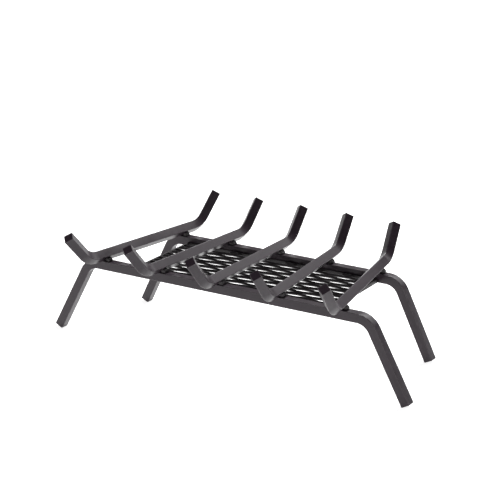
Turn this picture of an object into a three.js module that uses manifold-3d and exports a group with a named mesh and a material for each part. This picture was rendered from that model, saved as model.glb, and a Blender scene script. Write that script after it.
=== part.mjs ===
// Log grate: two bent rails on splayed legs, five crossbars on edge, and an ember screen.
// Millimetres, +Z up. The front faces -Y, and the origin is on the floor at the middle.
import * as THREE from "three";
import { mergeVertices } from "three/addons/utils/BufferGeometryUtils.js";
import Module from "manifold-3d";

// Square bar, 5/8 inch, with its long edges slightly broken
const barSize = 15.875;
const barChamfer = 0.9;

// Rails. A span is measured between the corners where the centre lines of top and legs meet.
const railTopHeight = 140;
const railSpacing = 188;
const frontRailSpan = 540;
const rearRailSpan = 450;
const railBendRadius = 30.5; // to the bar's centre line
const frontLegSplay = 28.5; // degrees out from vertical
const rearLegSplay = 26;
const footFlatDepth = 1; // ground off the lowest edge of each foot

// Crossbars. An inset runs from the outermost seat to the start of the rail's bend.
const crossbarCount = 5;
const frontInset = 23;
const rearInset = 9.6;
const crossbarShift = -8.3; // the whole set sits left of the middle
const overhang = 22.8; // straight, from the rail's centre line to the upturn
const upturnRadius = 40.2; // to the bar's centre line
const upturnAngle = 48.5; // degrees from level
const upturnLength = 48.5; // straight, beyond the bend

// Fillet welds between a crossbar's two lower faces and the rail's top
const weldLeg = 10.8;
const weldCrown = 0.9; // how far the bead's face bulges
const weldEndTaper = 1.6; // length of each tapered end
const weldEndShare = 0.7; // size of the bead at its very end
const fitGap = 0.3; // between pieces that meet on sloping faces

// Ember screen of expanded metal, welded in between the rails, flush with their undersides
const screenInset = 15.7; // from its ends to the start of the rear rail's bend
const screenThickness = 7; // over the raised strands
const screenMargin = 3; // solid edge
const openingPitchX = 56; // long way of the diamond
const openingPitchY = 25.8; // short way of the diamond
const openingShift = [24.5, 2]; // the diamonds aren't centred on the sheet
const strandWidth = 3.2; // seen from straight above
const bondLength = 9; // where two strands are one

const bendSteps = 10;
const crownSteps = 4;

// What follows from the driving dimensions
const radians = THREE.MathUtils.degToRad;
const edgeReach = (barSize - barChamfer) / Math.SQRT2; // centre to the broken edge
const edgeFlat = barChamfer / Math.SQRT2; // half the width of the broken edge
const cornerToBend = (splay) => railBendRadius * Math.tan(radians(90 - splay) / 2);
const frontFlatHalf = frontRailSpan / 2 - cornerToBend(frontLegSplay);
const rearFlatHalf = rearRailSpan / 2 - cornerToBend(rearLegSplay);

const satin = { roughness: 0.48, metalness: 0.2 };
const barPaint = new THREE.MeshStandardMaterial({ color: 0x3a383b, ...satin });
const weldPaint = new THREE.MeshStandardMaterial({ color: 0x2e2c2e, ...satin });
const screenPaint = new THREE.MeshStandardMaterial({ color: 0x2a2729, ...satin });

const grate = new THREE.Group();
const wasm = await Module();
wasm.setup();

// A closed body through rings of points, each counter-clockwise seen from the last ring's side.
function skin(rings) {
  const sides = rings[0].length;
  const index = [];
  for (let ring = 0; ring < rings.length - 1; ring++) {
    for (let side = 0; side < sides; side++) {
      const a = ring * sides + side;
      const b = ring * sides + ((side + 1) % sides);
      index.push(a, b, b + sides, a, b + sides, a + sides);
    }
  }
  const last = (rings.length - 1) * sides;
  for (let side = 1; side < sides - 1; side++) {
    index.push(0, side + 1, side);
    index.push(last, last + side, last + side + 1);
  }
  return new THREE.BufferGeometry().setFromPoints(rings.flat()).setIndex(index);
}

// A square outline from the two points of one corner, as [across, up] pairs.
function squareOutline(corner) {
  const once = corner.map(([x, y]) => [-y, x]);
  const twice = corner.map(([x, y]) => [-x, -y]);
  const thrice = corner.map(([x, y]) => [y, -x]);
  return [...corner, ...once, ...twice, ...thrice];
}

// Stations of a bar that is level for flatHalf each side of the middle, then bends by turn
// (radians, positive upwards) and runs straight for tail.
function bentPath(flatHalf, radius, turn, tail) {
  const half = [];
  for (let step = 0; step <= bendSteps; step++) {
    const heading = (turn * step) / bendSteps;
    const along = flatHalf + radius * Math.sin(Math.abs(heading));
    const rise = Math.sign(turn) * radius * (1 - Math.cos(heading));
    half.push({ along, rise, heading });
  }
  const end = half[bendSteps];
  half.push({
    along: end.along + tail * Math.cos(turn),
    rise: end.rise + tail * Math.sin(turn),
    heading: turn,
  });
  const mirrored = half.map((s) => ({ along: -s.along, rise: s.rise, heading: -s.heading }));
  return [...mirrored.reverse(), ...half];
}

// The bar's outline carried along a bent path. place(along, across, up) gives the point.
function bentBar(outline, path, place) {
  const rings = path.map(({ along, rise, heading }) =>
    outline.map(([across, up]) =>
      place(along - up * Math.sin(heading), across, rise + up * Math.cos(heading)),
    ),
  );
  return skin(rings);
}

function toSolid(geometry) {
  const bare = geometry.clone();
  bare.deleteAttribute("normal");
  bare.deleteAttribute("uv");
  const merged = mergeVertices(bare);
  const vertProperties = merged.attributes.position.array;
  const triVerts = new Uint32Array(merged.index.array);
  return new wasm.Manifold(new wasm.Mesh({ numProp: 3, vertProperties, triVerts }));
}

function toGeometry(solid) {
  const { vertProperties, triVerts } = solid.getMesh();
  return new THREE.BufferGeometry()
    .setAttribute("position", new THREE.BufferAttribute(vertProperties, 3))
    .setIndex(new THREE.BufferAttribute(triVerts, 1));
}

// Adds a named mesh to the grate, with flat shading normals.
function addPiece(name, geometry, material) {
  const flatShaded = geometry.index ? geometry.toNonIndexed() : geometry;
  flatShaded.computeVertexNormals();
  const mesh = new THREE.Mesh(flatShaded, material);
  mesh.name = name;
  grate.add(mesh);
  return mesh;
}

// A rail stands on the lowest edges of its two feet, which are cut square to the legs.
function railGeometry(flatHalf, legSplay, depth) {
  const splay = radians(legSplay);
  const centreHeight = railTopHeight - barSize / 2;
  const bendDrop = railBendRadius * (1 - Math.sin(splay));
  const footHeight = (barSize / 2) * Math.sin(splay) - footFlatDepth;
  const legLength = (centreHeight - bendDrop - footHeight) / Math.cos(splay);
  const path = bentPath(flatHalf, railBendRadius, splay - Math.PI / 2, legLength);
  const half = barSize / 2;
  const outline = squareOutline([[half - barChamfer, -half], [half, barChamfer - half]]);
  const bar = bentBar(outline, path, (along, across, up) =>
    new THREE.Vector3(along, depth + across, centreHeight + up),
  );
  const floor = new THREE.BoxGeometry(4 * flatHalf, 4 * railSpacing, 2 * railTopHeight);
  floor.translate(0, 0, -railTopHeight);
  return toGeometry(toSolid(bar).subtract(toSolid(floor)));
}

// A crossbar stands on one edge at height 0, its length along Y, the middle at the origin.
function crossbarGeometry(seatDistance) {
  const path = bentPath(seatDistance + overhang, upturnRadius, radians(upturnAngle), upturnLength);
  const outline = squareOutline([[-edgeFlat, -edgeReach], [edgeFlat, -edgeReach]]);
  return bentBar(outline, path, (along, across, up) =>
    new THREE.Vector3(-across, along, edgeReach + up),
  );
}

// A weld bead fills the groove on the +X side of a crossbar that runs along Y.
function weldGeometry(run) {
  const root = new THREE.Vector2(edgeFlat + fitGap * Math.SQRT2, 0);
  const toe = new THREE.Vector2(edgeFlat + weldLeg, 0);
  const top = root.clone().add(new THREE.Vector2(weldLeg, weldLeg).divideScalar(Math.SQRT2));
  const outwards = new THREE.Vector2(top.y - toe.y, toe.x - top.x).normalize();
  const outline = [root];
  for (let step = 0; step <= crownSteps; step++) {
    const share = step / crownSteps;
    const bulge = weldCrown * Math.sin(Math.PI * share);
    outline.push(toe.clone().lerp(top, share).addScaledVector(outwards, bulge));
  }
  const ring = (y, size) =>
    outline.map((point) => {
      const { x, y: up } = root.clone().lerp(point, size);
      return new THREE.Vector3(x, y, up);
    });
  const full = run / 2 - weldEndTaper;
  return skin([
    ring(run / 2, weldEndShare),
    ring(full, 1),
    ring(-full, 1),
    ring(-run / 2, weldEndShare),
  ]);
}

// A flat sheet of six-sided openings in staggered rows along X, cut off at a solid margin.
function screenGeometry(width, depth) {
  const { CrossSection } = wasm;
  const tip = (openingPitchX - bondLength) / 2;
  const side = openingPitchY / 2 - strandWidth;
  const opening = [[tip, 0], [bondLength / 2, side], [-bondLength / 2, side]];
  const corners = [...opening, ...opening.map(([x, y]) => [-x, -y])];
  const outlines = [];
  const rows = Math.ceil(depth / openingPitchY);
  const columns = Math.ceil(width / openingPitchX);
  for (let row = -rows; row <= rows; row++) {
    const stagger = row % 2 === 0 ? openingPitchX / 2 : 0;
    for (let column = -columns; column <= columns; column++) {
      const x = openingShift[0] + stagger + column * openingPitchX;
      const y = openingShift[1] + (row * openingPitchY) / 2;
      outlines.push(corners.map(([dx, dy]) => [x + dx, y + dy]));
    }
  }
  const inside = [width - 2 * screenMargin, depth - 2 * screenMargin];
  const openings = new CrossSection(outlines)
    .intersect(CrossSection.square(inside, true))
    .decompose()
    .filter((piece) => piece.area() > strandWidth ** 2); // no slivers along the margin
  const sheet = CrossSection.square([width, depth], true).subtract(CrossSection.compose(openings));
  return toGeometry(sheet.extrude(screenThickness));
}

addPiece("front_rail", railGeometry(frontFlatHalf, frontLegSplay, -railSpacing / 2), barPaint);
addPiece("rear_rail", railGeometry(rearFlatHalf, rearLegSplay, railSpacing / 2), barPaint);

for (let number = 1; number <= crossbarCount; number++) {
  const place = (2 * (number - 1)) / (crossbarCount - 1) - 1; // -1 at the left, 1 at the right
  const seats = {
    front: crossbarShift + place * (frontFlatHalf - frontInset),
    rear: crossbarShift + place * (rearFlatHalf - rearInset),
  };
  const fan = Math.atan((seats.front - seats.rear) / railSpacing);
  const seatDistance = railSpacing / 2 / Math.cos(fan);
  const bar = addPiece(`crossbar_${number}`, crossbarGeometry(seatDistance), barPaint);
  bar.position.set((seats.front + seats.rear) / 2, 0, railTopHeight);
  bar.rotation.z = fan;

  // The bead stays on the flat of the rail's top, which it crosses at the fan angle.
  const railFlat = barSize - 2 * barChamfer;
  const sideways = 2 * (weldLeg + edgeFlat) * Math.abs(Math.sin(fan));
  const weldRun = (railFlat - sideways) / Math.cos(fan);
  for (const [rail, y] of [["front", -railSpacing / 2], ["rear", railSpacing / 2]]) {
    for (const [side, turn] of [["left", Math.PI], ["right", 0]]) {
      const name = `weld_${rail}_${number}_${side}`;
      const weld = addPiece(name, weldGeometry(weldRun), weldPaint);
      weld.position.set(seats[rail], y, railTopHeight);
      weld.rotation.z = fan + turn;
    }
  }
}

const screenWidth = 2 * (rearFlatHalf - screenInset);
const screenDepth = railSpacing - barSize;
const screen = addPiece("ember_screen", screenGeometry(screenWidth, screenDepth), screenPaint);
screen.position.z = railTopHeight - barSize;

export default grate;
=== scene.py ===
import math
import bpy
import bmesh
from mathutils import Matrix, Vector


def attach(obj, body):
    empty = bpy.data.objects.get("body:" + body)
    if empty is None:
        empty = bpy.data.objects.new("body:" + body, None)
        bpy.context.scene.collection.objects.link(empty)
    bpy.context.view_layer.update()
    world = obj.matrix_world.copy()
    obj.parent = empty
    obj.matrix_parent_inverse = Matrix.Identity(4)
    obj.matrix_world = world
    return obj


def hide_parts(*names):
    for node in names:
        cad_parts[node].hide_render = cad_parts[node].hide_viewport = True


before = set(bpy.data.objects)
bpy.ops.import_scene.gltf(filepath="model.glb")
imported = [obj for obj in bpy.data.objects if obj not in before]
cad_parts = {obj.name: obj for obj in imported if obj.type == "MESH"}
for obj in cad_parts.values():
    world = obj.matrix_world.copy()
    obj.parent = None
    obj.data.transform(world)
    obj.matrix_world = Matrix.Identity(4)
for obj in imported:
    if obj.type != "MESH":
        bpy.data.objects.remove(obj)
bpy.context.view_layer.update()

mergeDistance = 1e-6  # points closer than this are one point
snapDistance = 1e-5  # slack for finding and joining the open ends
squareOn = 0.999  # cosine above which a face looks straight along a direction
smoothAngle = 40  # degrees between faces, below which they shade as one


# Small tools for modelling by code

def dropSelection():
    for item in bpy.context.selected_objects:
        item.select_set(False)


def workOn(*pieces):
    dropSelection()
    for piece in pieces:
        piece.select_set(True)
    bpy.context.view_layer.objects.active = pieces[0]


def applyPlace(piece):
    workOn(piece)
    bpy.ops.object.transform_apply(location=True, rotation=True, scale=True)


def enterEdit(piece):
    workOn(piece)
    bpy.context.tool_settings.mesh_select_mode = (True, True, True)
    bpy.ops.object.mode_set(mode="EDIT")
    bpy.ops.mesh.select_all(action="DESELECT")


def leaveEdit():
    bpy.ops.object.mode_set(mode="OBJECT")


def clearPicked(shape):
    for item in list(shape.verts) + list(shape.edges) + list(shape.faces):
        item.select = False


def pickFaces(piece, test):
    shape = bmesh.from_edit_mesh(piece.data)
    clearPicked(shape)
    for face in shape.faces:
        if test(face.calc_center_median(), face.normal):
            face.select_set(True)
    bmesh.update_edit_mesh(piece.data)


def pickVerts(piece, test):
    shape = bmesh.from_edit_mesh(piece.data)
    clearPicked(shape)
    for point in shape.verts:
        if test(point.co):
            point.select = True
    shape.select_flush(True)
    bmesh.update_edit_mesh(piece.data)


# Cuts off what lies behind a plane, in edit mode
def cutAway(planePoint, planeNormal, fill=True):
    bpy.ops.mesh.select_all(action="SELECT")
    bpy.ops.mesh.bisect(
        plane_co=planePoint,
        plane_no=planeNormal,
        use_fill=fill,
        clear_inner=True,
        threshold=mergeDistance,
    )


def addBevel(piece, width, steps, sharperThan):
    rounding = piece.modifiers.new("edges", "BEVEL")
    rounding.limit_method = "ANGLE"
    rounding.angle_limit = math.radians(sharperThan)
    rounding.width = width
    rounding.segments = steps


def addArray(piece, step, count, joined=False):
    repeat = piece.modifiers.new("repeat", "ARRAY")
    repeat.use_relative_offset = False
    repeat.use_constant_offset = True
    repeat.constant_offset_displace = step
    repeat.count = count
    repeat.use_merge_vertices = joined
    repeat.merge_threshold = snapDistance


def applyModifiers(piece):
    workOn(piece)
    for modifier in list(piece.modifiers):
        bpy.ops.object.modifier_apply(modifier=modifier.name)


def joinPieces(pieces):
    workOn(*pieces)
    bpy.ops.object.join()
    return pieces[0]


def copyPiece(piece, name):
    twin = piece.copy()
    twin.data = piece.data.copy()
    twin.name = name
    bpy.context.scene.collection.objects.link(twin)
    return twin


def cleanShell(piece):
    enterEdit(piece)
    bpy.ops.mesh.select_all(action="SELECT")
    bpy.ops.mesh.remove_doubles(threshold=mergeDistance)
    bpy.ops.mesh.normals_make_consistent(inside=False)
    leaveEdit()


def smoothUnder(piece, degrees):
    workOn(piece)
    bpy.ops.object.shade_smooth_by_angle(angle=math.radians(degrees))


# Rounded edges shade smoothly while the large faces beside them stay flat
def smoothEdges(piece):
    smoothUnder(piece, smoothAngle)
    even = piece.modifiers.new("evenFaces", "WEIGHTED_NORMAL")
    even.keep_sharp = True
    applyModifiers(piece)


# Square bar, bent the same way at both ends. It is made along X, with its middle at the origin.
barStock = {
    "size": 0.015875,
    "edgeRadius": 0.0010,
    "edgeSteps": 3,
    "edgeAngle": 40,  # degrees between faces, above which an edge is rounded
    "bendSteps": 28,
    "swellSpread": 0.6,  # lower spreads a bend's swelling further along it
    "sawnRadius": 0.0003,
    "sawnSteps": 2,
}


# Metal pushed out on the inside of a bend and drawn in on the outside
def swellBend(bar, bendCentre, bendRadius, turn, swell):
    upward = math.copysign(1, turn)
    steps = barStock["bendSteps"]
    stepTurn = abs(turn) / steps

    def onRing(point, step, wantInside):
        arm = point - bendCentre
        angle = math.atan2(arm.x, -upward * arm.z)
        isInside = math.hypot(arm.x, arm.z) < bendRadius
        return abs(angle - step * stepTurn) < stepTurn / 3 and isInside == wantInside

    for step in range(1, steps):
        amount = swell * math.sin(math.pi * step / steps) ** barStock["swellSpread"]
        for wantInside, factor in ((True, 1 + amount), (False, 1 - amount / 2)):
            pickVerts(bar, lambda point: onRing(point, step, wantInside))
            bpy.ops.transform.resize(value=(1, factor, 1), center_override=(0, 0, 0))


# Sawn ends, sharper than the rolled edges. They lie further out than bendReach.
def sawEnds(bar, along, bendReach):
    outwards = (along, Vector((-along.x, 0, along.z)))

    def onEnd(place, normal):
        isSquare = max(abs(normal.dot(way)) for way in outwards) > squareOn
        return isSquare and abs(place.x) > bendReach

    enterEdit(bar)
    bpy.ops.mesh.select_all(action="SELECT")
    bpy.ops.mesh.fill_holes(sides=0)
    bpy.ops.mesh.normals_make_consistent(inside=False)
    pickFaces(bar, onEnd)
    bpy.ops.mesh.bevel(
        offset=barStock["sawnRadius"], segments=barStock["sawnSteps"], affect="EDGES"
    )
    leaveEdit()


def makeBar(name, flatHalf, bendRadius, turn, tail, edgewise=False, swell=0):
    size = barStock["size"]
    bpy.ops.mesh.primitive_cube_add(
        size=1,
        location=(flatHalf / 2, 0, 0),
        rotation=(math.radians(45) if edgewise else 0, 0, 0),
        scale=(flatHalf, size, size),
    )
    bar = bpy.context.object
    bar.name = name
    applyPlace(bar)

    enterEdit(bar)
    pickFaces(bar, lambda place, normal: place.x < snapDistance)
    bpy.ops.mesh.delete(type="ONLY_FACE")
    pickFaces(bar, lambda place, normal: abs(place.x - flatHalf) < snapDistance)
    bendCentre = Vector((flatHalf, 0, math.copysign(bendRadius, turn)))
    bpy.ops.mesh.spin(
        steps=barStock["bendSteps"],
        angle=turn,
        center=bendCentre,
        axis=(0, 1, 0),
    )
    along = Vector((math.cos(turn), 0, math.sin(turn)))
    bpy.ops.mesh.extrude_region_move(TRANSFORM_OT_translate={"value": along * tail})
    bpy.ops.mesh.delete(type="ONLY_FACE")
    if swell:
        swellBend(bar, bendCentre, bendRadius, turn, swell)
    leaveEdit()

    mirror = bar.modifiers.new("otherHalf", "MIRROR")
    mirror.use_clip = True
    mirror.merge_threshold = snapDistance
    addBevel(bar, barStock["edgeRadius"], barStock["edgeSteps"], barStock["edgeAngle"])
    applyModifiers(bar)
    sawEnds(bar, along, flatHalf + bendRadius)
    cleanShell(bar)
    return bar


# Rails, each a flat top between two splayed legs. The spans are between the corners that the
# top and the legs would make if they weren't rounded.
railShape = {
    "topHeight": 0.140,
    "spacing": 0.188,
    "spans": {"front": 0.540, "rear": 0.450},
    "splays": {"front": 28.5, "rear": 26},
    "bendRadius": 0.0305,
    "footFlat": 0.001,
    "bendSwell": 0.05,
}
railSides = ("front", "rear")
railPlaces = {"front": -railShape["spacing"] / 2, "rear": railShape["spacing"] / 2}
flatHalves = {}
for side in railSides:
    legTurn = math.radians(90 - railShape["splays"][side])
    cornerToBend = railShape["bendRadius"] * math.tan(legTurn / 2)
    flatHalves[side] = railShape["spans"][side] / 2 - cornerToBend


def makeRail(side):
    half = barStock["size"] / 2
    splay = math.radians(railShape["splays"][side])
    centreHeight = railShape["topHeight"] - half
    bendDrop = railShape["bendRadius"] * (1 - math.sin(splay))
    footHeight = half * math.sin(splay) - railShape["footFlat"]
    legLength = (centreHeight - bendDrop - footHeight) / math.cos(splay)
    legTurn = math.radians(90) - splay
    rail = makeBar(
        side + "Rail",
        flatHalves[side],
        railShape["bendRadius"],
        -legTurn,
        legLength,
        swell=railShape["bendSwell"],
    )
    rail.location = (0, railPlaces[side], centreHeight)
    applyPlace(rail)
    enterEdit(rail)
    cutAway((0, 0, 0), (0, 0, 1))  # flat where it stands on the floor
    leaveEdit()
    cleanShell(rail)
    smoothEdges(rail)
    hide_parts(side + "_rail")
    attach(rail, "root")
    return rail


rails = {side: makeRail(side) for side in railSides}
print("rails done")

# Crossbars, on edge. The outer ones sit inside the rails' bends by the insets, and the rest are
# evenly spaced between them.
crossbarShape = {
    "count": 5,
    "insets": {"front": 0.023, "rear": 0.0096},
    "shift": -0.0083,
    "overhang": 0.0228,
    "bendRadius": 0.0402,
    "upturnAngle": 48.5,
    "upturnLength": 0.0485,
    "brokenEdge": 0.0009,
}
edgeReach = (barStock["size"] - crossbarShape["brokenEdge"]) / math.sqrt(2)
edgeFlat = crossbarShape["brokenEdge"] / math.sqrt(2)


def crossbarSeats(number):
    place = 2 * (number - 1) / (crossbarShape["count"] - 1) - 1
    seats = {
        side: crossbarShape["shift"] + place * (flatHalves[side] - crossbarShape["insets"][side])
        for side in railSides
    }
    fan = math.atan((seats["front"] - seats["rear"]) / railShape["spacing"])
    return seats, fan


def makeCrossbar(number):
    seats, fan = crossbarSeats(number)
    seatDistance = railShape["spacing"] / 2 / math.cos(fan)
    bar = makeBar(
        "crossbar%d" % number,
        seatDistance + crossbarShape["overhang"],
        crossbarShape["bendRadius"],
        math.radians(crossbarShape["upturnAngle"]),
        crossbarShape["upturnLength"],
        edgewise=True,
    )
    bar.rotation_euler = (0, 0, fan + math.radians(90))
    middle = (seats["front"] + seats["rear"]) / 2
    bar.location = (middle, 0, railShape["topHeight"] + edgeReach)
    applyPlace(bar)
    smoothEdges(bar)
    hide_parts("crossbar_%d" % number)
    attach(bar, "root")
    return bar


crossbars = [makeCrossbar(number + 1) for number in range(crossbarShape["count"])]
print("crossbars done")

# Weld beads: one run of overlapping pools, copied into every groove between crossbar and rail
beadShape = {
    "leg": 0.0108,
    "crown": 0.0016,
    "facing": 22.5,  # degrees, halfway between the rail's top and the crossbar's face
    "poolRadius": 0.0068,
    "poolDepth": 0.0023,
    "poolTilt": 24,
    "pools": 6,
    "poolSegments": 40,
    "endPool": 0.86,  # size of the first and last pool beside the others
    "run": 0.0140,
    "wobbleStep": 2.3,  # radians from pool to pool, along the sine that makes them uneven
    "wobbleSize": 0.05,
    "wobbleTilt": 5,
    "wobbleTurn": 3,
    "voxel": 0.00042,
    "softenFactor": 0.5,
    "softenTimes": 3,
    "smoothAngle": 50,
    "gap": 0.0003,
}


def makePool(number):
    facing = math.radians(beadShape["facing"])
    outer = beadShape["leg"] * math.cos(facing) + beadShape["crown"]
    last = beadShape["pools"] - 1
    wobble = math.sin(number * beadShape["wobbleStep"])
    radius = beadShape["poolRadius"] * (1 + beadShape["wobbleSize"] * wobble)
    if number in (0, last):
        radius *= beadShape["endPool"]
    fromRoot = outer - radius
    bpy.ops.mesh.primitive_uv_sphere_add(
        segments=beadShape["poolSegments"],
        ring_count=beadShape["poolSegments"] // 2,
        radius=1,
        location=(
            edgeFlat + beadShape["gap"] + fromRoot * math.cos(facing),
            (number / last - 0.5) * (beadShape["run"] - 2 * beadShape["poolDepth"]),
            fromRoot * math.sin(facing),
        ),
        rotation=(
            math.radians(beadShape["poolTilt"] + beadShape["wobbleTilt"] * wobble),
            0,
            math.radians(beadShape["wobbleTurn"] * wobble),
        ),
        scale=(radius, beadShape["poolDepth"], radius),
    )
    pool = bpy.context.object
    applyPlace(pool)
    return pool


def makeBead():
    bead = joinPieces([makePool(number) for number in range(beadShape["pools"])])
    bead.name = "bead"
    fuse = bead.modifiers.new("fuse", "REMESH")
    fuse.mode = "VOXEL"
    fuse.voxel_size = beadShape["voxel"]
    soften = bead.modifiers.new("soften", "SMOOTH")
    soften.factor = beadShape["softenFactor"]
    soften.iterations = beadShape["softenTimes"]
    applyModifiers(bead)
    clearance = beadShape["gap"] / 3
    enterEdit(bead)
    cutAway((0, 0, clearance), (0, 0, 1))  # flat on the rail
    cutAway((edgeFlat + clearance, 0, 0), (1, 0, -1))  # and against the crossbar
    leaveEdit()
    cleanShell(bead)
    smoothUnder(bead, beadShape["smoothAngle"])
    return bead


def layBead(bead, rail, number, side):
    seats, fan = crossbarSeats(number)
    sideways = 2 * (beadShape["leg"] + edgeFlat) * abs(math.sin(fan))
    run = (barStock["size"] - 2 * crossbarShape["brokenEdge"] - sideways) / math.cos(fan)
    weld = copyPiece(bead, "weld%s%d%s" % (rail.title(), number, side.title()))
    weld.scale = (1, run / beadShape["run"], 1)
    weld.rotation_euler = (0, 0, fan + (math.pi if side == "left" else 0))
    weld.location = (seats[rail], railPlaces[rail], railShape["topHeight"])
    applyPlace(weld)
    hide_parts("weld_%s_%d_%s" % (rail, number, side))
    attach(weld, "root")
    return weld


firstBead = makeBead()
welds = [
    layBead(firstBead, rail, number + 1, side)
    for number in range(crossbarShape["count"])
    for rail in railSides
    for side in ("left", "right")
]
bpy.data.objects.remove(firstBead)
print("welds done")

# Ember screen of raised expanded metal between the rails: two zigzag strands, repeated both
# ways, cut off inside a flat edging
screenShape = {
    "halfWidth": 0.1902,
    "height": 0.007,
    "margin": 0.003,
    "edgingRadius": 0.0006,
    "edgingSteps": 2,
    "edgingAngle": 30,
    "pitchX": 0.056,
    "pitchY": 0.0258,
    "shiftX": 0.0245,
    "shiftY": 0.002,
    "spareRepeats": 3,  # more than the width and depth need, to be cut off
    "strandWidth": 0.0043,
    "strandThickness": 0.0037,
    "strandEdge": 0.0003,
    "strandEdgeAngle": 50,
    "tilt": 48,
    "bond": 0.009,
}


def makeStrand(name):
    width = screenShape["strandWidth"]
    bond = screenShape["bond"]
    tilt = math.radians(screenShape["tilt"])
    sway = screenShape["pitchY"] / 4 - (width / 2 - screenShape["strandEdge"]) * math.cos(tilt)
    rise = (width / 2 - screenShape["strandEdge"]) * math.sin(tilt)
    slope = screenShape["pitchX"] / 2 - bond
    bpy.ops.mesh.primitive_cube_add(
        size=1,
        location=(bond / 4, sway, -rise),
        rotation=(tilt, 0, 0),
        scale=(bond / 2, width, screenShape["strandThickness"]),
    )
    strand = bpy.context.object
    strand.name = name
    applyPlace(strand)
    enterEdit(strand)
    pickFaces(strand, lambda place, normal: place.x < snapDistance)
    bpy.ops.mesh.delete(type="ONLY_FACE")
    pickFaces(strand, lambda place, normal: abs(place.x - bond / 2) < snapDistance)
    for move in (
        (slope, -2 * sway, 2 * rise),
        (bond, 0, 0),
        (slope, 2 * sway, -2 * rise),
        (bond / 2, 0, 0),
    ):
        bpy.ops.mesh.extrude_region_move(TRANSFORM_OT_translate={"value": move})
    bpy.ops.mesh.delete(type="ONLY_FACE")
    leaveEdit()
    return strand


def makeNet(width, depth, middle):
    pitchX = screenShape["pitchX"]
    pitchY = screenShape["pitchY"]
    columns = math.ceil(width / pitchX) + screenShape["spareRepeats"]
    pairs = math.ceil(depth / pitchY) + screenShape["spareRepeats"]
    firstX = screenShape["shiftX"] - columns // 2 * pitchX
    firstY = screenShape["shiftY"] + pitchY / 4 - pairs // 2 * pitchY

    strands = []
    for number, halfPitch in ((0, pitchX / 2), (1, 0)):
        strand = makeStrand("strand%d" % number)
        strand.location = (firstX + halfPitch, firstY + number * pitchY / 2, middle)
        applyPlace(strand)
        addArray(strand, (pitchX, 0, 0), columns, joined=True)
        addBevel(strand, screenShape["strandEdge"], 1, screenShape["strandEdgeAngle"])
        applyModifiers(strand)
        strands.append(strand)
    net = joinPieces(strands)
    addArray(net, (0, pitchY, 0), pairs)
    applyModifiers(net)

    edgeX = (width - screenShape["margin"]) / 2  # halfway across the edging
    edgeY = (depth - screenShape["margin"]) / 2
    enterEdit(net)
    cutAway((edgeX, 0, 0), (-1, 0, 0), fill=False)
    cutAway((-edgeX, 0, 0), (1, 0, 0), fill=False)
    cutAway((0, edgeY, 0), (0, -1, 0), fill=False)
    cutAway((0, -edgeY, 0), (0, 1, 0), fill=False)
    bpy.ops.mesh.select_all(action="SELECT")
    bpy.ops.mesh.fill_holes(sides=0)
    leaveEdit()
    return net


def makeEdging(width, depth, middle):
    bpy.ops.mesh.primitive_cube_add(
        size=1,
        location=(0, 0, middle),
        scale=(width, depth, screenShape["height"]),
    )
    edging = bpy.context.object
    applyPlace(edging)
    enterEdit(edging)
    pickFaces(edging, lambda place, normal: abs(normal.z) > squareOn)
    bpy.ops.mesh.inset(thickness=screenShape["margin"], depth=0)
    bpy.ops.mesh.bridge_edge_loops()
    leaveEdit()
    addBevel(
        edging,
        screenShape["edgingRadius"],
        screenShape["edgingSteps"],
        screenShape["edgingAngle"],
    )
    applyModifiers(edging)
    return edging


def makeScreen():
    width = 2 * screenShape["halfWidth"]
    depth = railShape["spacing"] - barStock["size"]
    middle = railShape["topHeight"] - barStock["size"] + screenShape["height"] / 2
    screen = joinPieces([makeNet(width, depth, middle), makeEdging(width, depth, middle)])
    screen.name = "emberScreen"
    cleanShell(screen)
    smoothEdges(screen)
    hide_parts("ember_screen")
    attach(screen, "root")
    return screen


screen = makeScreen()
print("screen done")


# Small tools for shader nodes. A value is a number or colour, or another node's output.

def feed(tree, socket, value):
    if isinstance(value, bpy.types.NodeSocket):
        tree.links.new(value, socket)
    else:
        socket.default_value = value


def addMath(tree, operation, first, second):
    node = tree.nodes.new("ShaderNodeMath")
    node.operation = operation
    feed(tree, node.inputs[0], first)
    feed(tree, node.inputs[1], second)
    return node.outputs[0]


def addNoise(tree, place, scale, detail=2, roughness=0.5):
    node = tree.nodes.new("ShaderNodeTexNoise")
    node.inputs["Detail"].default_value = detail
    node.inputs["Roughness"].default_value = roughness
    feed(tree, node.inputs["Vector"], place)
    feed(tree, node.inputs["Scale"], scale)
    return node.outputs["Fac"]


def addRange(tree, value, fromRange, toRange=(0, 1), curve="LINEAR"):
    node = tree.nodes.new("ShaderNodeMapRange")
    node.interpolation_type = curve
    node.inputs["From Min"].default_value, node.inputs["From Max"].default_value = fromRange
    node.inputs["To Min"].default_value, node.inputs["To Max"].default_value = toRange
    feed(tree, node.inputs["Value"], value)
    return node.outputs["Result"]


def addMix(tree, share, first, second):
    node = tree.nodes.new("ShaderNodeMix")
    node.data_type = "RGBA"
    feed(tree, node.inputs[0], share)
    feed(tree, node.inputs[6], first)  # sockets 6 and 7 and output 2 are the node's colours
    feed(tree, node.inputs[7], second)
    return node.outputs[2]


def startGroup(name, inputs, outputs):
    group = bpy.data.node_groups.new(name, "ShaderNodeTree")
    for socketName, kind, value in inputs:
        socket = group.interface.new_socket(socketName, in_out="INPUT", socket_type=kind)
        if value is not None:
            socket.default_value = value
    for socketName in outputs:
        group.interface.new_socket(
            socketName, in_out="OUTPUT", socket_type="NodeSocketFloat"
        )
    entry = group.nodes.new("NodeGroupInput")
    leave = group.nodes.new("NodeGroupOutput")
    return group, entry, leave


def addGroup(tree, group, settings):
    node = tree.nodes.new("ShaderNodeGroup")
    node.node_tree = group
    for socketName, value in settings.items():
        feed(tree, node.inputs[socketName], value)
    return node


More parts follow.
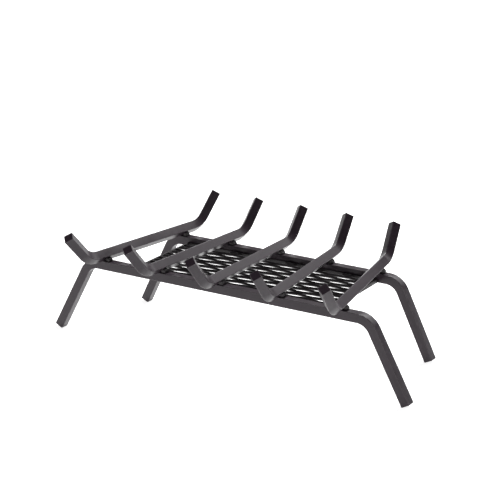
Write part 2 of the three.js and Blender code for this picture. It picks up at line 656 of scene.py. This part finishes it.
# Uneven coat: Peel is a height in metres, and Patches and Specks run from 0 to 1
grainLook = {
    "fineRatio": 4.3,  # a finer peel on top of the first
    "fineShare": 0.22,
    "patchRange": (0.32, 0.68),
    "speckRatio": 0.45,
    "speckRange": (0.05, 0.16),
    "speckAreaScale": 140,
    "speckAreaRange": (0.56, 0.66),
}


def makeCoatGrain():
    group, entry, leave = startGroup(
        "coatGrain",
        (
            ("Place", "NodeSocketVector", None),
            ("Peel Size", "NodeSocketFloat", 0.0016),
            ("Peel Height", "NodeSocketFloat", 0.00002),
            ("Patch Size", "NodeSocketFloat", 0.04),
        ),
        ("Peel", "Patches", "Specks"),
    )
    place = entry.outputs["Place"]
    peelScale = addMath(group, "DIVIDE", 1, entry.outputs["Peel Size"])
    peel = addNoise(group, place, peelScale, detail=1)
    fineScale = addMath(group, "MULTIPLY", peelScale, grainLook["fineRatio"])
    fine = addMath(
        group, "MULTIPLY", addNoise(group, place, fineScale), grainLook["fineShare"]
    )
    both = addMath(group, "ADD", peel, fine)
    peelHeight = addMath(group, "MULTIPLY", both, entry.outputs["Peel Height"])
    group.links.new(peelHeight, leave.inputs["Peel"])

    patchScale = addMath(group, "DIVIDE", 1, entry.outputs["Patch Size"])
    cloud = addNoise(group, place, patchScale, detail=4, roughness=0.6)
    patches = addRange(group, cloud, grainLook["patchRange"])
    group.links.new(patches, leave.inputs["Patches"])

    dots = group.nodes.new("ShaderNodeTexVoronoi")
    group.links.new(place, dots.inputs["Vector"])
    dotScale = addMath(group, "MULTIPLY", peelScale, grainLook["speckRatio"])
    group.links.new(dotScale, dots.inputs["Scale"])
    near = addRange(group, dots.outputs["Distance"], grainLook["speckRange"], (1, 0))
    area = addNoise(group, place, grainLook["speckAreaScale"], detail=1)
    rare = addRange(group, area, grainLook["speckAreaRange"])
    group.links.new(addMath(group, "MULTIPLY", near, rare), leave.inputs["Specks"])
    return group


# Lighter colour along the sharp edges, broken up by a fine noise: painted highlight where the
# rounded edges catch light, together with thin paint there
wearAndHighlightLook = {
    "samples": 6,
    "turnRange": (0.998, 0.95),  # cosine between the face and the rounded normal
    "breakScale": 260,
    "breakRange": (0.34, 0.6),
    "leastWearAndHighlight": 0.35,
}


def makeEdgeWearAndHighlight():
    group, entry, leave = startGroup(
        "edgeWearAndHighlight",
        (
            ("Place", "NodeSocketVector", None),
            ("Reach", "NodeSocketFloat", 0.001),
            ("Amount", "NodeSocketFloat", 1.0),
        ),
        ("Edge",),
    )
    rounded = group.nodes.new("ShaderNodeBevel")
    rounded.samples = wearAndHighlightLook["samples"]
    group.links.new(entry.outputs["Reach"], rounded.inputs["Radius"])
    surface = group.nodes.new("ShaderNodeNewGeometry")
    turned = group.nodes.new("ShaderNodeVectorMath")
    turned.operation = "DOT_PRODUCT"
    group.links.new(rounded.outputs["Normal"], turned.inputs[0])
    group.links.new(surface.outputs["Normal"], turned.inputs[1])
    edge = addRange(group, turned.outputs["Value"], wearAndHighlightLook["turnRange"])
    fine = addNoise(group, entry.outputs["Place"], wearAndHighlightLook["breakScale"], detail=3)
    broken = addRange(group, fine, wearAndHighlightLook["breakRange"], (wearAndHighlightLook["leastWearAndHighlight"], 1))
    wearAndHighlightMask = addMath(group, "MULTIPLY", edge, broken)
    scaled = addMath(group, "MULTIPLY", wearAndHighlightMask, entry.outputs["Amount"])
    group.links.new(scaled, leave.inputs["Edge"])
    return group


coatGrain = makeCoatGrain()
edgeWearAndHighlight = makeEdgeWearAndHighlight()

# Dark satin paint: even on the bars, rougher and duller on the welds and the screen
coatLooks = {
    "bar": {
        "color": (0.0245, 0.0160, 0.0230, 1),
        "patchColor": (0.0305, 0.0205, 0.0285, 1),
        # the edge colour is a painted highlight along the sharp edges, together with thin paint
        # there
        "edgeWearAndHighlightColor": (0.150, 0.136, 0.147, 1),
        "roughness": (0.28, 0.37),
        "peelSize": 0.0015,
        "peelHeight": 0.000018,
        "patchSize": 0.045,
        "wearAndHighlightReach": 0.0020,
        "wearAndHighlightAmount": 0.9,
    },
    "weld": {
        "color": (0.016, 0.0130, 0.0150, 1),
        "patchColor": (0.022, 0.0175, 0.0200, 1),
        "edgeWearAndHighlightColor": (0.060, 0.052, 0.056, 1),
        "roughness": (0.40, 0.56),
        "peelSize": 0.0008,
        "peelHeight": 0.00003,
        "patchSize": 0.006,
        "wearAndHighlightReach": 0.0006,
        "wearAndHighlightAmount": 0.5,
    },
    "screen": {
        "color": (0.014, 0.0115, 0.0130, 1),
        "patchColor": (0.020, 0.0160, 0.0185, 1),
        "edgeWearAndHighlightColor": (0.080, 0.070, 0.076, 1),
        "roughness": (0.42, 0.58),
        "peelSize": 0.0011,
        "peelHeight": 0.000025,
        "patchSize": 0.03,
        "wearAndHighlightReach": 0.0005,
        "wearAndHighlightAmount": 0.5,
    },
}
coatShared = {
    "specular": 0.4,
    "speckRoughness": 0.12,
    "speckHeight": 0.00002,
    "wornGloss": 0.08,
}


def makeCoat(name, look):
    coat = bpy.data.materials.new(name)
    coat.use_nodes = True
    tree = coat.node_tree
    shader = tree.nodes["Principled BSDF"]
    shader.inputs["Specular IOR Level"].default_value = coatShared["specular"]
    place = tree.nodes.new("ShaderNodeTexCoord").outputs["Object"]
    grain = addGroup(tree, coatGrain, {
        "Place": place,
        "Peel Size": look["peelSize"],
        "Peel Height": look["peelHeight"],
        "Patch Size": look["patchSize"],
    })
    wearAndHighlight = addGroup(tree, edgeWearAndHighlight, {
        "Place": place,
        "Reach": look["wearAndHighlightReach"],
        "Amount": look["wearAndHighlightAmount"],
    })
    patches = grain.outputs["Patches"]
    specks = grain.outputs["Specks"]
    wearAndHighlightMask = wearAndHighlight.outputs["Edge"]

    tone = addMix(tree, patches, look["color"], look["patchColor"])
    # lighter colour at the edges: painted highlight, together with thin paint there
    wornAndHighlighted = addMix(tree, wearAndHighlightMask, tone, look["edgeWearAndHighlightColor"])
    tree.links.new(wornAndHighlighted, shader.inputs["Base Color"])

    matt = addRange(tree, patches, (0, 1), look["roughness"])
    dusty = addMath(tree, "MULTIPLY", specks, coatShared["speckRoughness"])
    matt = addMath(tree, "ADD", matt, dusty)
    polished = addMath(tree, "MULTIPLY", wearAndHighlightMask, coatShared["wornGloss"])
    matt = addMath(tree, "SUBTRACT", matt, polished)
    tree.links.new(matt, shader.inputs["Roughness"])

    speckHeight = addMath(tree, "MULTIPLY", specks, coatShared["speckHeight"])
    bump = tree.nodes.new("ShaderNodeBump")
    bump.inputs["Distance"].default_value = 1
    height = addMath(tree, "ADD", grain.outputs["Peel"], speckHeight)
    tree.links.new(height, bump.inputs["Height"])
    tree.links.new(bump.outputs["Normal"], shader.inputs["Normal"])
    return coat


for pieces, name in (
    (list(rails.values()) + crossbars, "bar"),
    (welds, "weld"),
    ([screen], "screen"),
):
    coat = makeCoat(name + "Coat", coatLooks[name])
    for piece in pieces:
        piece.data.materials.append(coat)
print("paint done")

# White floor and backdrop under a dim ceiling
stageLook = {
    "floorSize": 30,
    "floorColor": (0.82, 0.82, 0.82, 1),
    "floorRoughness": 0.9,
    "floorLift": 0.85,
    "backdropTop": 2,  # degrees above the horizon
    "ceilingStart": 13,
    "ceilingLevel": 0.04,
    "fillLevel": 0.5,
}


def addSeen(tree):
    # 1 where the camera, a reflection or clear material looks, 0 for the light on the object
    path = tree.nodes.new("ShaderNodeLightPath")
    seen = addMath(tree, "MAXIMUM", path.outputs["Is Camera Ray"], path.outputs["Is Glossy Ray"])
    return addMath(tree, "MAXIMUM", seen, path.outputs["Is Transmission Ray"])


bpy.ops.mesh.primitive_plane_add(size=stageLook["floorSize"], location=(0, 0, 0))
floor = bpy.context.object
floor.name = "floor"
floorPaint = bpy.data.materials.new("floorPaint")
floorPaint.use_nodes = True
floorTree = floorPaint.node_tree
floorShader = floorTree.nodes["Principled BSDF"]
floorShader.inputs["Base Color"].default_value = stageLook["floorColor"]
floorShader.inputs["Roughness"].default_value = stageLook["floorRoughness"]
floorShader.inputs["Specular IOR Level"].default_value = 0
floorShader.inputs["Emission Color"].default_value = (1, 1, 1, 1)
lift = addMath(floorTree, "MULTIPLY", addSeen(floorTree), stageLook["floorLift"])
floorTree.links.new(lift, floorShader.inputs["Emission Strength"])
floor.data.materials.append(floorPaint)

world = bpy.data.worlds.new("studio")
bpy.context.scene.world = world
world.use_nodes = True
studio = world.node_tree
background = studio.nodes["Background"]
background.inputs["Color"].default_value = (1, 1, 1, 1)
direction = studio.nodes.new("ShaderNodeTexCoord")
split = studio.nodes.new("ShaderNodeSeparateXYZ")
studio.links.new(direction.outputs["Generated"], split.inputs[0])
dimmed = [math.sin(math.radians(stageLook[key])) for key in ("backdropTop", "ceilingStart")]
wall = addRange(
    studio, split.outputs["Z"], dimmed, (1, stageLook["ceilingLevel"]), curve="SMOOTHSTEP"
)
fill = addRange(studio, addSeen(studio), (0, 1), (stageLook["fillLevel"], 1))
level = addMath(studio, "MULTIPLY", wall, fill)
studio.links.new(level, background.inputs["Strength"])

softboxes = {
    "keyLamp": {"place": (-1.7, -2.1, 0.8), "size": (1.6, 1.0), "power": 14},
    "backLamp": {"place": (-0.2, 1.7, 2.5), "size": (1.3, 0.8), "power": 112},
    "stripLamp": {"place": (0.7, 2.2, 1.5), "size": (1.8, 0.9), "power": 10},
    "edgeLamp": {"place": (1.9, -1.6, 1.0), "size": (0.6, 0.6), "power": 12},
}
lampTarget = Vector((0, 0, 0.1))
for name, box in softboxes.items():
    lamp = bpy.data.lights.new(name, "AREA")
    lamp.shape = "RECTANGLE"
    lamp.size, lamp.size_y = box["size"]
    lamp.energy = box["power"]
    holder = bpy.data.objects.new(name, lamp)
    bpy.context.scene.collection.objects.link(holder)
    holder.location = box["place"]
    aim = lampTarget - Vector(box["place"])
    holder.rotation_euler = aim.to_track_quat("-Z", "Y").to_euler()
print("stage done")

# Camera, on the photograph's line of sight
cameraView = {
    "azimuth": 31.74,
    "elevation": 18.14,
    "distance": 2.787,
    "target": (-0.0070, 0, 0.1717),
    "lens": 119.5,
    "sensor": 36,
}
azimuth = math.radians(cameraView["azimuth"])
elevation = math.radians(cameraView["elevation"])
back = Vector((
    math.sin(azimuth) * math.cos(elevation),
    -math.cos(azimuth) * math.cos(elevation),
    math.sin(elevation),
))
camera = bpy.data.objects.new("camera", bpy.data.cameras.new("camera"))
bpy.context.scene.collection.objects.link(camera)
camera.location = Vector(cameraView["target"]) + back * cameraView["distance"]
camera.rotation_euler = back.to_track_quat("Z", "Y").to_euler()
camera.data.lens = cameraView["lens"]
camera.data.sensor_width = cameraView["sensor"]
bpy.context.scene.camera = camera
bpy.context.scene.view_settings.view_transform = "Standard"
print("camera done")
